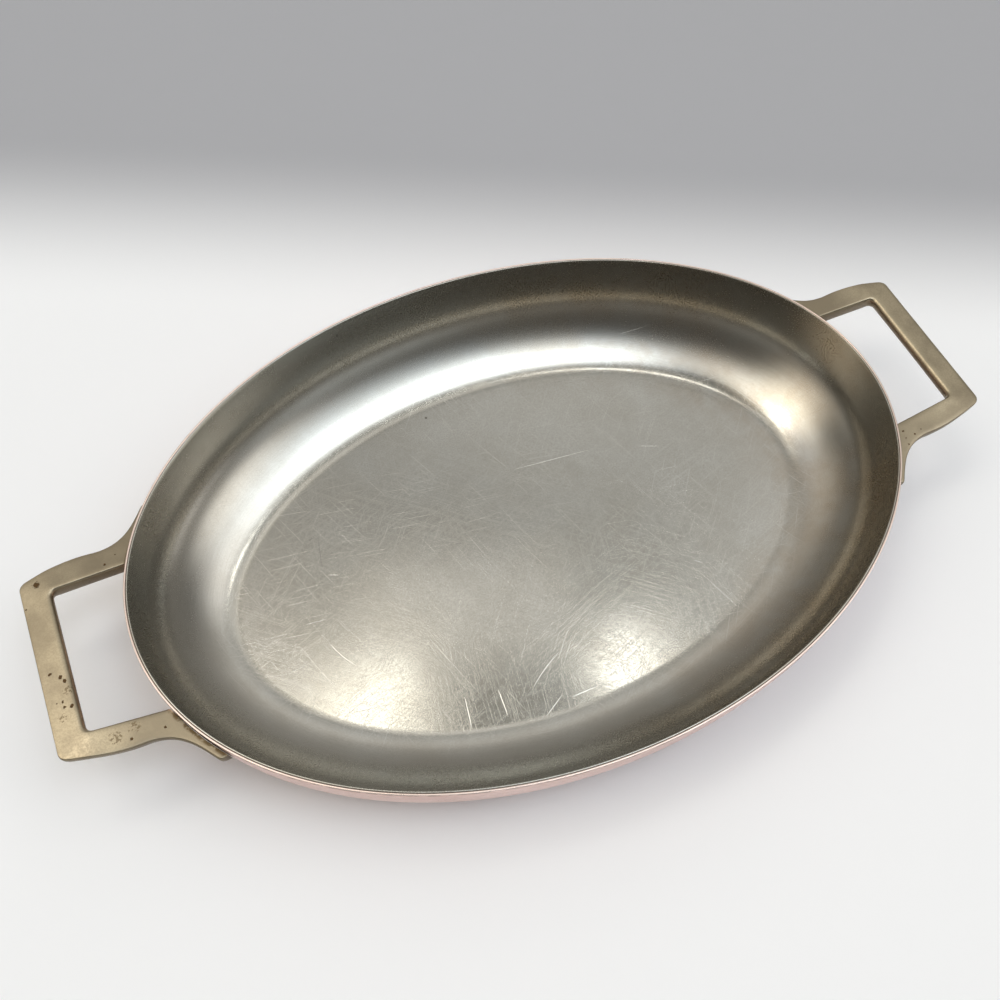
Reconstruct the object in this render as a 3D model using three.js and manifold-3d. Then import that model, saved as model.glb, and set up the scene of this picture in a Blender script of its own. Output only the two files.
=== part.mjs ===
// An oval gratin pan: a copper body with a steel lining, and a cast brass loop handle at each end.
// Sizes are in millimetres. +X runs along the pan, +Y across it, +Z up. The base lies on z = 0.
import * as THREE from 'three';
import * as BufferGeometryUtils from 'three/addons/utils/BufferGeometryUtils.js';
import Module from 'manifold-3d';

const wasm = await Module();
wasm.setup();

// Pan
const rimLength = 330;            // over the outside of the lip
const rimWidth = 232;
const panHeight = 45;             // from the base to the lip
const lipSweepRadius = 90;        // gentle curve of the wall below the lip
const lipSweepLean = 11;          // degrees off upright where that curve ends
const lowerWallRadius = 55;
const lowerWallLean = 45;         // degrees off upright where the lower wall starts
const floorCornerRadius = 4;
const floorCornerLean = 73;       // degrees off upright where the lower wall meets the floor's corner
const copperThickness = 0.8;
const steelThickness = 0.7;
const liningGap = 0.1;            // between the copper and the steel
const lipChamfer = 0.2;           // on each sheet's edge

// Handles
const gripReach = 34;             // from the lip to the grip's outer edge
const gripWidth = 11;
const gripDepth = 6.5;
const topFall = 0.5;              // how far the top face falls from its inner to its outer edge
const gripSpan = 72.6;              // over the outer corners
const cornerRadius = 2.4;         // outer corners
const fingerGapSpan = 59.6;       // between the legs at the grip
const fingerGapRadius = 3;        // corners of the finger gap
const legDepth = 7.2;
const legWaistSpan = 82.6;        // over the legs, just outside the wall
const legWaistReach = 5;          // from the end of the lip to the waist
const rootGapSpan = 65.4;         // between the legs at the wall
const footSpan = 112;             // over the tips of the feet
const footTipThickness = 3.1;     // from the wall outwards
const footDrop = 3.6;             // from the lip down to the top of the handle where it leaves the wall
const gripDrop = 0;               // from the lip down to the grip's inner top edge
const footGap = 0.3;              // between a foot and the copper

// Pins that hold the feet
const pinDiameter = 3.5;
const pinLength = 7;
const pinSpan = 71;               // between the front and the rear pin of one handle, at the wall
const pinSideGap = 0.15;          // round the pin in its hole
const pinEndGap = 0.3;            // at each end of the pin

// How finely round shapes are cut into flats
const rimSteps = 72;
const lipSweepSteps = 3;
const upperWallSteps = 3;
const lowerWallSteps = 4;
const floorCornerSteps = 2;
const pinSteps = 16;

const halfLength = rimLength / 2;
const halfWidth = rimWidth / 2;
const leanSine = (degrees) => Math.sin(THREE.MathUtils.degToRad(degrees));

// The upper wall's radius fills the height that the other curves leave
const upperWallRadius = (
  panHeight
  - lipSweepRadius * leanSine(lipSweepLean)
  - lowerWallRadius * (leanSine(floorCornerLean) - leanSine(lowerWallLean))
  - floorCornerRadius * (1 - leanSine(floorCornerLean))
) / (leanSine(lowerWallLean) - leanSine(lipSweepLean));

// The wall's curves from the lip down. Each runs on from the one above until it reaches its lean.
const wallArcs = [
  { radius: lipSweepRadius, lean: lipSweepLean, steps: lipSweepSteps },
  { radius: upperWallRadius, lean: lowerWallLean, steps: upperWallSteps },
  { radius: lowerWallRadius, lean: floorCornerLean, steps: lowerWallSteps },
  { radius: floorCornerRadius, lean: 90, steps: floorCornerSteps },
];

// A point of the lip's outer oval, moved inwards along the oval's normal
function ovalPoint(angle, inset) {
  const normal = new THREE.Vector2(Math.cos(angle) / halfLength, Math.sin(angle) / halfWidth).normalize();
  return new THREE.Vector2(
    halfLength * Math.cos(angle) - normal.x * inset,
    halfWidth * Math.sin(angle) - normal.y * inset,
  );
}

function angleAcross(y) {
  return Math.asin(y / halfWidth);
}

// The surface that lies a given depth inside the outer skin, from the base up to the lip.
// Each point holds its inset from the lip's outer oval and its height.
function skinProfile(depth) {
  const centre = new THREE.Vector2(lipSweepRadius, panHeight);
  const points = [new THREE.Vector2(depth, panHeight)];
  let fromLean = 0;
  wallArcs.forEach(({ radius, lean, steps }, arc) => {
    for (let i = 1; i <= steps; i++) {
      const angle = THREE.MathUtils.degToRad(THREE.MathUtils.lerp(fromLean, lean, i / steps));
      const outwards = new THREE.Vector2(-Math.cos(angle), -Math.sin(angle));
      points.push(centre.clone().addScaledVector(outwards, radius - depth));
      const isJoin = i === steps && arc < wallArcs.length - 1;
      if (isJoin) centre.addScaledVector(outwards, radius - wallArcs[arc + 1].radius);
    }
    fromLean = lean;
  });
  return points.reverse();
}

// Merges the seams, and drops the triangles that have no area at the middle of the base
function closeSeams(geometry) {
  geometry.deleteAttribute('normal');
  geometry.deleteAttribute('uv');
  const merged = BufferGeometryUtils.mergeVertices(geometry);
  const kept = [];
  for (let i = 0; i < merged.index.count; i += 3) {
    const [a, b, c] = [0, 1, 2].map((k) => merged.index.getX(i + k));
    if (a !== b && b !== c && c !== a) kept.push(a, b, c);
  }
  merged.setIndex(kept);
  return merged;
}

// Turns a profile of insets and heights round the oval. Its first and last points lie on the axis.
function ovalSolid(profile) {
  const axisInset = halfWidth;
  const lathePoints = profile.map((point) => new THREE.Vector2(axisInset - point.x, point.y));
  const geometry = new THREE.LatheGeometry(lathePoints, rimSteps);
  const position = geometry.attributes.position;
  for (let i = 0; i < position.count; i++) {
    const { x: inset, y: height } = profile[i % profile.length];
    const step = Math.floor(i / profile.length) % rimSteps;
    const point = inset === axisInset
      ? new THREE.Vector2(0, 0)
      : ovalPoint(step / rimSteps * 2 * Math.PI, inset);
    position.setXYZ(i, point.x, point.y, height);
  }
  return closeSeams(geometry);
}

// A sheet of the pan between two depths inside the outer skin, with its edge chamfered at the lip
function panSheet(outerDepth, innerDepth) {
  const outerSkin = skinProfile(outerDepth);
  const innerSkin = skinProfile(innerDepth).reverse();
  const outerLip = outerSkin.pop();
  const innerLip = innerSkin.shift();
  return ovalSolid([
    new THREE.Vector2(halfWidth, outerDepth),
    ...outerSkin,
    new THREE.Vector2(outerLip.x, panHeight - lipChamfer),
    new THREE.Vector2(outerLip.x + lipChamfer, panHeight),
    new THREE.Vector2(innerLip.x - lipChamfer, panHeight),
    new THREE.Vector2(innerLip.x, panHeight - lipChamfer),
    ...innerSkin,
    new THREE.Vector2(halfWidth, innerDepth),
  ]);
}

// The whole pan as one filled form, standing a given gap outside the copper
function filledPan(gap) {
  return ovalSolid([
    new THREE.Vector2(halfWidth, -gap),
    ...skinProfile(-gap),
    new THREE.Vector2(halfWidth, panHeight),
  ]);
}

function toManifold(geometry) {
  return new wasm.Manifold(new wasm.Mesh({
    numProp: 3,
    vertProperties: new Float32Array(geometry.attributes.position.array),
    triVerts: new Uint32Array(geometry.index.array),
  }));
}

function fromManifold(solid) {
  const mesh = solid.getMesh();
  const geometry = new THREE.BufferGeometry();
  geometry.setAttribute('position', new THREE.BufferAttribute(new Float32Array(mesh.vertProperties), 3));
  geometry.setIndex(new THREE.BufferAttribute(new Uint32Array(mesh.triVerts), 1));
  return geometry;
}

const gripOuter = halfLength + gripReach;
const gripInner = gripOuter - gripWidth;
const rootAngle = angleAcross(rootGapSpan / 2);
const rootPoint = ovalPoint(rootAngle, 0);

// Height of the handle's inner top edge, which rises from the wall to the grip
function handleTop(x) {
  return THREE.MathUtils.mapLinear(x, rootPoint.x, gripInner, panHeight - footDrop, panHeight - gripDrop);
}

// The two edges of a handle seen from above, from the tip of a foot to the middle of the grip.
// Each stretch pairs a curve of the outer edge with one of the inner edge.
const footBite = 2;               // how far the uncut foot reaches into the wall
const footAngle = angleAcross(footSpan / 2);
const tipAngle = angleAcross(footSpan / 2 - footTipThickness / 2);
const midFootShare = 0.12;        // where the tip ends, as a share of the foot's length along the wall
const footPull = 0.6;             // how long the foot's outer edge keeps to the wall's direction
const waistPull = 0.55;           // how early it turns into the waist
const legBow = 0.7;               // how far the leg's outer edge bows out past the waist
const legPull = 0.33;             // where the leg's control points lie along it
const cornerSlant = 0.45;         // how far the leg's outer edge still slopes in at the corner

function wallCurve(fromAngle, toAngle, inset, steps) {
  const points = [];
  for (let i = 0; i <= steps; i++) {
    points.push(ovalPoint(THREE.MathUtils.lerp(fromAngle, toAngle, i / steps), inset));
  }
  return points;
}

function handleStretches() {
  const tipSteps = 3;
  const footSteps = 7;
  const legSteps = 5;
  const cornerSteps = 4;
  const tip = ovalPoint(footAngle, -footGap);
  const shoulder = ovalPoint(tipAngle, -footTipThickness);
  const pastShoulder = ovalPoint(THREE.MathUtils.lerp(tipAngle, rootAngle, midFootShare), -footTipThickness);
  const along = pastShoulder.sub(shoulder).normalize();
  const waist = new THREE.Vector2(halfLength + legWaistReach, legWaistSpan / 2);
  const corner = new THREE.Vector2(gripOuter, gripSpan / 2);
  const cornerStart = new THREE.Vector2(corner.x - cornerRadius, corner.y + cornerRadius * cornerSlant);
  const cornerEnd = new THREE.Vector2(corner.x, corner.y - cornerRadius);
  const gapCorner = new THREE.Vector2(gripInner, fingerGapSpan / 2);
  const legDirection = gapCorner.clone().sub(rootPoint).normalize();
  const gapStart = gapCorner.clone().addScaledVector(legDirection, -fingerGapRadius);
  const gapEnd = new THREE.Vector2(gapCorner.x, gapCorner.y - fingerGapRadius);
  const legLength = cornerStart.x - waist.x;
  const legLateY = THREE.MathUtils.lerp(waist.y, cornerStart.y, legPull);
  const midFootAngle = THREE.MathUtils.lerp(footAngle, rootAngle, midFootShare);
  const tipCurve = new THREE.QuadraticBezierCurve(
    tip,
    shoulder.clone().addScaledVector(along, -footTipThickness / 2),
    shoulder,
  );
  const footCurve = new THREE.CubicBezierCurve(
    shoulder,
    shoulder.clone().addScaledVector(along, (shoulder.y - waist.y) * footPull),
    new THREE.Vector2(waist.x - (waist.x - shoulder.x) * waistPull, waist.y),
    waist,
  );
  const legCurve = new THREE.CubicBezierCurve(
    waist,
    new THREE.Vector2(waist.x + legLength * legPull, waist.y + legBow),
    new THREE.Vector2(cornerStart.x - legLength * legPull, legLateY),
    cornerStart,
  );
  return [
    {
      outer: tipCurve.getPoints(tipSteps),
      inner: wallCurve(footAngle, midFootAngle, footBite, tipSteps),
    },
    {
      outer: footCurve.getPoints(footSteps),
      inner: wallCurve(midFootAngle, rootAngle, footBite, footSteps),
    },
    {
      outer: legCurve.getPoints(legSteps),
      inner: new THREE.LineCurve(ovalPoint(rootAngle, footBite), gapStart).getPoints(legSteps),
    },
    {
      outer: new THREE.QuadraticBezierCurve(cornerStart, corner, cornerEnd).getPoints(cornerSteps),
      inner: new THREE.QuadraticBezierCurve(gapStart, gapCorner, gapEnd).getPoints(cornerSteps),
    },
    {
      outer: [cornerEnd, new THREE.Vector2(corner.x, 0)],
      inner: [gapEnd, new THREE.Vector2(gapCorner.x, 0)],
    },
  ];
}

// One quarter round and the side below it, from the top face down to the underside.
// Each point holds its inset from the edge and its depth.
function sideProfile(round, undercut, depth) {
  const roundSteps = 2;
  const sideSteps = 3;
  const points = [];
  for (let i = 0; i <= roundSteps; i++) {
    const angle = i / roundSteps * Math.PI / 2;
    points.push(new THREE.Vector2(round.x * (1 - Math.sin(angle)), round.y * (1 - Math.cos(angle))));
  }
  for (let i = 1; i <= sideSteps; i++) {
    const angle = i / sideSteps * Math.PI / 2;
    points.push(new THREE.Vector2(
      undercut * (1 - Math.cos(angle)),
      round.y + (depth - round.y) * Math.sin(angle),
    ));
  }
  return points;
}

const legSection = {
  depth: legDepth,
  outerRound: new THREE.Vector2(0.7, 0.8),
  outerUndercut: 6.2,
  innerRound: new THREE.Vector2(1.3, 1.5),
  innerUndercut: 2,
};
const gripSection = {
  depth: gripDepth,
  outerRound: new THREE.Vector2(0.4, 0.6),
  outerUndercut: 5.2,
  innerRound: new THREE.Vector2(2.2, 2),
  innerUndercut: 4.4,
};
const legWidth = (legWaistSpan - rootGapSpan) / 2;

// A closed ring of points round the handle, between one point of its outer edge and one of its inner edge.
// The section turns from the leg's into the grip's as the blend goes from 0 to 1.
function handleSection(outer, inner, blend) {
  const mix = (a, b) => THREE.MathUtils.lerp(a, b, blend);
  const mixRound = (name) => legSection[name].clone().lerp(gripSection[name], blend);
  const width = outer.distanceTo(inner);
  const narrowing = Math.min(1, width / legWidth);
  const depth = mix(legSection.depth, gripSection.depth);
  const outerSide = sideProfile(
    mixRound('outerRound'), mix(legSection.outerUndercut, gripSection.outerUndercut) * narrowing, depth);
  const innerSide = sideProfile(
    mixRound('innerRound'), mix(legSection.innerUndercut, gripSection.innerUndercut) * narrowing, depth);
  const place = (inset, down) => {
    const across = inset / width;
    const point = outer.clone().lerp(inner, across);
    const level = handleTop(Math.min(point.x, gripInner)) - topFall * (1 - across);
    return new THREE.Vector3(point.x, point.y, level - down);
  };
  return [
    ...outerSide.map((point) => place(point.x, point.y)),
    ...innerSide.reverse().map((point) => place(width - point.x, point.y)),
  ];
}

// A closed body through a row of rings that all have the same number of points
function loftSolid(rings) {
  const count = rings[0].length;
  const positions = rings.flat().flatMap((point) => point.toArray());
  const index = [];
  for (let i = 0; i < rings.length - 1; i++) {
    for (let j = 0; j < count; j++) {
      const a = i * count + j;
      const b = i * count + (j + 1) % count;
      index.push(a, b + count, b, a, a + count, b + count);
    }
  }
  const last = (rings.length - 1) * count;
  for (let j = 1; j < count - 1; j++) {
    index.push(0, j, j + 1);
    index.push(last, last + j + 1, last + j);
  }
  const geometry = new THREE.BufferGeometry();
  geometry.setAttribute('position', new THREE.Float32BufferAttribute(positions, 3));
  geometry.setIndex(index);
  return geometry;
}

// The uncut handle at the +X end, its feet running into the wall
function uncutHandle() {
  const stretches = handleStretches();
  const cornerStretch = stretches.length - 2;
  const rings = [];
  stretches.forEach(({ outer, inner }, s) => {
    outer.forEach((point, i) => {
      const isJoin = s > 0 && i === 0;
      if (isJoin) return;
      const alongCorner = s < cornerStretch ? 0 : 1;
      const blend = s === cornerStretch ? i / (outer.length - 1) : alongCorner;
      rings.push(handleSection(point, inner[i], blend));
    });
  });
  const mirrored = rings.slice(0, -1).reverse().map((ring) => (
    ring.map((point) => new THREE.Vector3(point.x, -point.y, point.z))
  ));
  return loftSolid([...rings, ...mirrored]);
}

// Each pin stands off the wall along the oval's normal, halfway up the foot
const pinHeight = panHeight - footDrop - legDepth / 2;
const pinWallInset = lipSweepRadius - Math.sqrt(lipSweepRadius ** 2 - (panHeight - pinHeight) ** 2);

function pinPlace(side) {
  const angle = angleAcross(pinSpan / 2) * side;
  const start = ovalPoint(angle, pinWallInset - pinEndGap);
  const middle = ovalPoint(angle, pinWallInset - pinEndGap - pinLength / 2);
  return { middle, turn: middle.clone().sub(start).angle() };
}

function pinSolid(radius, length) {
  return closeSeams(new THREE.CylinderGeometry(radius, radius, length, pinSteps).rotateZ(-Math.PI / 2));
}

function placedPin(geometry, side) {
  const { middle, turn } = pinPlace(side);
  return geometry.clone().rotateZ(turn).translate(middle.x, middle.y, pinHeight);
}

function handleGeometry() {
  const hole = pinSolid(pinDiameter / 2 + pinSideGap, pinLength + 2 * pinEndGap);
  const cut = toManifold(uncutHandle())
    .subtract(toManifold(filledPan(footGap)))
    .subtract(toManifold(placedPin(hole, 1)))
    .subtract(toManifold(placedPin(hole, -1)));
  return fromManifold(cut);
}

const copper = new THREE.MeshStandardMaterial({ color: 0xc98d76, roughness: 0.35, metalness: 1 });
const steel = new THREE.MeshStandardMaterial({ color: 0x9c9a94, roughness: 0.38, metalness: 1 });
const brass = new THREE.MeshStandardMaterial({ color: 0xad9b6c, roughness: 0.5, metalness: 1 });

function namedMesh(name, geometry, material) {
  const mesh = new THREE.Mesh(geometry, material);
  mesh.name = name;
  return mesh;
}

const castHandle = handleGeometry();
const pinShape = pinSolid(pinDiameter / 2, pinLength);

function pinMesh(name, side) {
  const { middle, turn } = pinPlace(side);
  const mesh = namedMesh(name, pinShape, brass);
  mesh.position.set(middle.x, middle.y, pinHeight);
  mesh.rotation.z = turn;
  return mesh;
}

const pan = new THREE.Group();
const innerDepth = copperThickness + liningGap;
pan.add(namedMesh('copper_body', panSheet(0, copperThickness), copper));
pan.add(namedMesh('steel_lining', panSheet(innerDepth, innerDepth + steelThickness), steel));

const rightEnd = new THREE.Group();
rightEnd.add(namedMesh('right_handle', castHandle, brass));
rightEnd.add(pinMesh('right_rear_pin', 1));
rightEnd.add(pinMesh('right_front_pin', -1));
pan.add(rightEnd);

const leftEnd = new THREE.Group();
leftEnd.rotation.z = Math.PI;
leftEnd.add(namedMesh('left_handle', castHandle, brass));
leftEnd.add(pinMesh('left_front_pin', 1));
leftEnd.add(pinMesh('left_rear_pin', -1));
pan.add(leftEnd);

export default pan;
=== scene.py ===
import math

import bmesh
import bpy
from mathutils import Matrix, Vector
from mathutils.geometry import interpolate_bezier


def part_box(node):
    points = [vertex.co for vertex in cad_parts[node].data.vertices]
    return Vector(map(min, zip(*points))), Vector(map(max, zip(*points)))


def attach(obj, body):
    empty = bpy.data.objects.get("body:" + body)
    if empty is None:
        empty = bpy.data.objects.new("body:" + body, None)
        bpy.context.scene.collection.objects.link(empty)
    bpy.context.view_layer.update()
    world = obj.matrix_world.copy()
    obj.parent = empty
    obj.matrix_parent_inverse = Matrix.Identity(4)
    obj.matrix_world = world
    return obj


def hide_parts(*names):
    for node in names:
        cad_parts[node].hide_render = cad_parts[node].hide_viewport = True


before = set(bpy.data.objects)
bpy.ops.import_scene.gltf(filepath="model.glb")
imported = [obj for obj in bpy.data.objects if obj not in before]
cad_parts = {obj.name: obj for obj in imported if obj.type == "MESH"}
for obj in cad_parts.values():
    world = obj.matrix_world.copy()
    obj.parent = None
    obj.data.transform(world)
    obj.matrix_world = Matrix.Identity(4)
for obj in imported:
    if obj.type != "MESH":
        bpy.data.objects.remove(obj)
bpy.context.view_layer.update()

mm = 0.001
mergeDistance = 0.001 * mm
sharpAngle = math.radians(40)        # edges at least this sharp stay sharp in the shading
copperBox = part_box("copper_body")
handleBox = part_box("right_handle")
halfLength = copperBox[1].x
halfWidth = copperBox[1].y
panHeight = copperBox[1].z


# Camera, at the photograph's angle
cameraPlace = {
    "place": Vector((-105.08, -186.43, 406.34)) * mm,
    "turn": 26.2,            # degrees, from looking along +Y towards +X
    "down": 60.24,           # degrees below level
    "roll": 2.71,
    "lens": 36.956,
    "sensor": 36,
    "pixels": 1000,          # the photograph's side
}


def cameraMatrix():
    turn = Matrix.Rotation(-math.radians(cameraPlace["turn"]), 4, "Z")
    tilt = Matrix.Rotation(math.radians(90 - cameraPlace["down"]), 4, "X")
    roll = Matrix.Rotation(math.radians(cameraPlace["roll"]), 4, "Z")
    return Matrix.Translation(cameraPlace["place"]) @ turn @ tilt @ roll


def makeCamera():
    data = bpy.data.cameras.new("photo camera")
    data.sensor_width = cameraPlace["sensor"]
    data.lens = cameraPlace["lens"]
    camera = bpy.data.objects.new("photo camera", data)
    bpy.context.scene.collection.objects.link(camera)
    camera.matrix_world = cameraMatrix()
    bpy.context.scene.camera = camera
    print("camera ready")


def seenAt(piece, pixel):
    # The place on a piece that a pixel of the photograph shows
    spread = cameraPlace["sensor"] / cameraPlace["lens"] / cameraPlace["pixels"]
    middle = cameraPlace["pixels"] / 2
    ray = Vector(((pixel[0] - middle) * spread, (middle - pixel[1]) * spread, -1))
    matrix = cameraMatrix()
    direction = (matrix.to_3x3() @ ray).normalized()
    hit, place, _, _ = piece.ray_cast(matrix.translation, direction)
    if not hit:
        raise ValueError(f"no part of {piece.name} is seen at {pixel}")
    return place


# Node helpers
def setInput(tree, socket, value):
    if isinstance(value, bpy.types.NodeSocket):
        tree.links.new(value, socket)
    else:
        socket.default_value = value


def addNode(tree, kind, inputs=None, **settings):
    node = tree.nodes.new(kind)
    for key, value in settings.items():
        setattr(node, key, value)
    for key, value in (inputs or {}).items():
        setInput(tree, node.inputs[key], value)
    return node


def calc(tree, operation, first, *others, clamp=False):
    # With more than two values, the operation goes through them in turn
    result = first
    for value in others or (0.0,):
        node = addNode(tree, "ShaderNodeMath", {0: result, 1: value}, operation=operation, use_clamp=clamp)
        result = node.outputs[0]
    return result


def vectorCalc(tree, operation, first, second=(0, 0, 0)):
    node = addNode(tree, "ShaderNodeVectorMath", {0: first, 1: second}, operation=operation)
    return node.outputs["Value" if operation in ("DOT_PRODUCT", "LENGTH", "DISTANCE") else "Vector"]


def scaled(tree, vector, factor):
    node = addNode(tree, "ShaderNodeVectorMath", {0: vector, "Scale": factor}, operation="SCALE")
    return node.outputs["Vector"]


def separate(tree, vector):
    return addNode(tree, "ShaderNodeSeparateXYZ", {0: vector}).outputs


def combine(tree, x=0.0, y=0.0, z=0.0):
    return addNode(tree, "ShaderNodeCombineXYZ", {0: x, 1: y, 2: z}).outputs[0]


def fade(tree, value, low, high, toLow=0.0, toHigh=1.0):
    # A smooth step from toLow to toHigh as the value goes from low to high
    ranges = {"Value": value, "From Min": low, "From Max": high, "To Min": toLow, "To Max": toHigh}
    return addNode(tree, "ShaderNodeMapRange", ranges, interpolation_type="SMOOTHSTEP").outputs["Result"]


def noise(tree, vector, scale, detail=2.0, rough=0.5):
    inputs = {"Vector": vector, "Scale": scale, "Detail": detail, "Roughness": rough}
    return addNode(tree, "ShaderNodeTexNoise", inputs).outputs["Fac"]


def mixColour(tree, factor, first, second):
    return addNode(tree, "ShaderNodeMix", {0: factor, 6: first, 7: second}, data_type="RGBA").outputs[2]


def colour(red, green, blue):
    return (red, green, blue, 1.0)


def makeGroup(name, inputs, outputs):
    # A group that takes a place and the given inputs, and gives numbers
    group = bpy.data.node_groups.new(name, "ShaderNodeTree")
    group.interface.new_socket("Vector", in_out="INPUT", socket_type="NodeSocketVector")
    for label, value in inputs.items():
        kind = "NodeSocketVector" if isinstance(value, tuple) else "NodeSocketFloat"
        group.interface.new_socket(label, in_out="INPUT", socket_type=kind).default_value = value
    for label in outputs:
        group.interface.new_socket(label, in_out="OUTPUT", socket_type="NodeSocketFloat")
    return group, group.nodes.new("NodeGroupInput").outputs, group.nodes.new("NodeGroupOutput")


def useGroup(tree, group, **inputs):
    return addNode(tree, "ShaderNodeGroup", inputs, node_tree=group).outputs


# The pan's two sheets
panShape = {
    "copperThickness": 0.8 * mm,
    "liningGap": 0.1 * mm,
    "steelThickness": 0.7 * mm,
    "lipRound": 0.28 * mm,
    "lipRoundSteps": 3,
    "turns": 288,
    "floorSteps": 8,
    "lipSweepRadius": 90 * mm,
    "upperEaseRadius": 50 * mm,
    "lowerEaseRadius": 38 * mm,
    "lowerWallRadius": 55 * mm,
    "floorCornerRadius": 26 * mm,
}
# Degrees off upright where each curve of the wall ends, from the lip down
wallLeans = {
    "lipSweep": 9,
    "upperEase": 14,
    "upperWall": 41,
    "lowerEase": 49,
    "lowerWall": 68,
    "floorCorner": 90,
}


def leanSine(name):
    return math.sin(math.radians(wallLeans[name]))


# The upper wall's radius fills the height that the other curves leave
upperWallRadius = (
    panHeight
    - panShape["lipSweepRadius"] * leanSine("lipSweep")
    - panShape["upperEaseRadius"] * (leanSine("upperEase") - leanSine("lipSweep"))
    - panShape["lowerEaseRadius"] * (leanSine("lowerEase") - leanSine("upperWall"))
    - panShape["lowerWallRadius"] * (leanSine("lowerWall") - leanSine("lowerEase"))
    - panShape["floorCornerRadius"] * (1 - leanSine("lowerWall"))
) / (leanSine("upperWall") - leanSine("upperEase"))
wallArcs = [
    {"radius": panShape["lipSweepRadius"], "lean": wallLeans["lipSweep"], "steps": 7},
    {"radius": panShape["upperEaseRadius"], "lean": wallLeans["upperEase"], "steps": 3},
    {"radius": upperWallRadius, "lean": wallLeans["upperWall"], "steps": 10},
    {"radius": panShape["lowerEaseRadius"], "lean": wallLeans["lowerEase"], "steps": 3},
    {"radius": panShape["lowerWallRadius"], "lean": wallLeans["lowerWall"], "steps": 10},
    {"radius": panShape["floorCornerRadius"], "lean": wallLeans["floorCorner"], "steps": 10},
]


def ovalPoint(angle, inset):
    # A point of the lip's outer oval, moved inwards along the oval's normal
    normal = Vector((math.cos(angle) / halfLength, math.sin(angle) / halfWidth)).normalized()
    return Vector((halfLength * math.cos(angle), halfWidth * math.sin(angle))) - normal * inset


def outwards(lean):
    return Vector((-math.cos(math.radians(lean)), -math.sin(math.radians(lean))))


def wallPoints(depth):
    # From the lip down to the edge of the floor. Each curve runs on from the one above.
    centre = Vector((panShape["lipSweepRadius"], panHeight))
    points = [Vector((depth, panHeight))]
    fromLean = 0
    for number, arc in enumerate(wallArcs):
        for step in range(1, arc["steps"] + 1):
            lean = fromLean + (arc["lean"] - fromLean) * step / arc["steps"]
            points.append(centre + outwards(lean) * (arc["radius"] - depth))
        fromLean = arc["lean"]
        if number + 1 < len(wallArcs):
            centre = centre + outwards(fromLean) * (arc["radius"] - wallArcs[number + 1]["radius"])
    return points


floorInset = wallPoints(0)[-1].x


def skinPoints(depth):
    # From the middle of the base up to the lip, as insets from the lip's oval and heights
    steps = panShape["floorSteps"]
    floor = [(halfWidth + (floorInset - halfWidth) * step / steps, depth) for step in range(steps)]
    return floor + [tuple(point) for point in reversed(wallPoints(depth))]


def spinProfile(points, turns):
    # Spins insets and heights round the upright axis, then lays the round form on the oval
    bm = bmesh.new()
    corners = [bm.verts.new((halfWidth - inset, 0, height)) for inset, height in points]
    for first, second in zip(corners, corners[1:]):
        bm.edges.new((first, second))
    bmesh.ops.spin(bm, geom=bm.verts[:] + bm.edges[:], cent=(0, 0, 0), axis=(0, 0, 1),
                   angle=2 * math.pi, steps=turns, use_merge=True, use_duplicate=False)
    bmesh.ops.remove_doubles(bm, verts=bm.verts, dist=mergeDistance)
    floorRadius = halfWidth - floorInset
    for vertex in bm.verts:
        angle = math.atan2(vertex.co.y, vertex.co.x)
        radius = math.hypot(vertex.co.x, vertex.co.y)
        onOval = ovalPoint(angle, min(halfWidth - radius, floorInset)) * min(1, radius / floorRadius)
        vertex.co.xy = onOval
    bmesh.ops.recalc_face_normals(bm, faces=bm.faces)
    return bm


def roundLip(bm):
    top = max(vertex.co.z for vertex in bm.verts) - mergeDistance
    bm.normal_update()
    lipEdges = []
    for edge in bm.edges:
        if all(vertex.co.z > top for vertex in edge.verts):
            flat = [face for face in edge.link_faces if all(vertex.co.z > top for vertex in face.verts)]
            if len(flat) == 1:
                lipEdges.append(edge)
    bmesh.ops.bevel(bm, geom=lipEdges, offset=panShape["lipRound"], offset_type="OFFSET",
                    segments=panShape["lipRoundSteps"], profile=0.5, affect="EDGES", material=-1)


def shade(mesh):
    mesh.shade_smooth()
    mesh.set_sharp_from_angle(angle=sharpAngle)


def makeObject(name, bm):
    mesh = bpy.data.meshes.new(name)
    bm.to_mesh(mesh)
    bm.free()
    shade(mesh)
    made = bpy.data.objects.new(name, mesh)
    bpy.context.scene.collection.objects.link(made)
    return made


def makeSheet(name, node, outerDepth, thickness):
    innerDepth = outerDepth + thickness
    bm = spinProfile(skinPoints(outerDepth) + skinPoints(innerDepth)[::-1], panShape["turns"])
    roundLip(bm)
    sheet = makeObject(name, bm)
    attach(sheet, "root")
    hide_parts(node)
    return sheet


liningDepth = panShape["copperThickness"] + panShape["liningGap"]
copperShell = makeSheet("copper_shell", "copper_body", 0.0, panShape["copperThickness"])
steelBowl = makeSheet("steel_bowl", "steel_lining", liningDepth, panShape["steelThickness"])
print("pan sheets ready")


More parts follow.
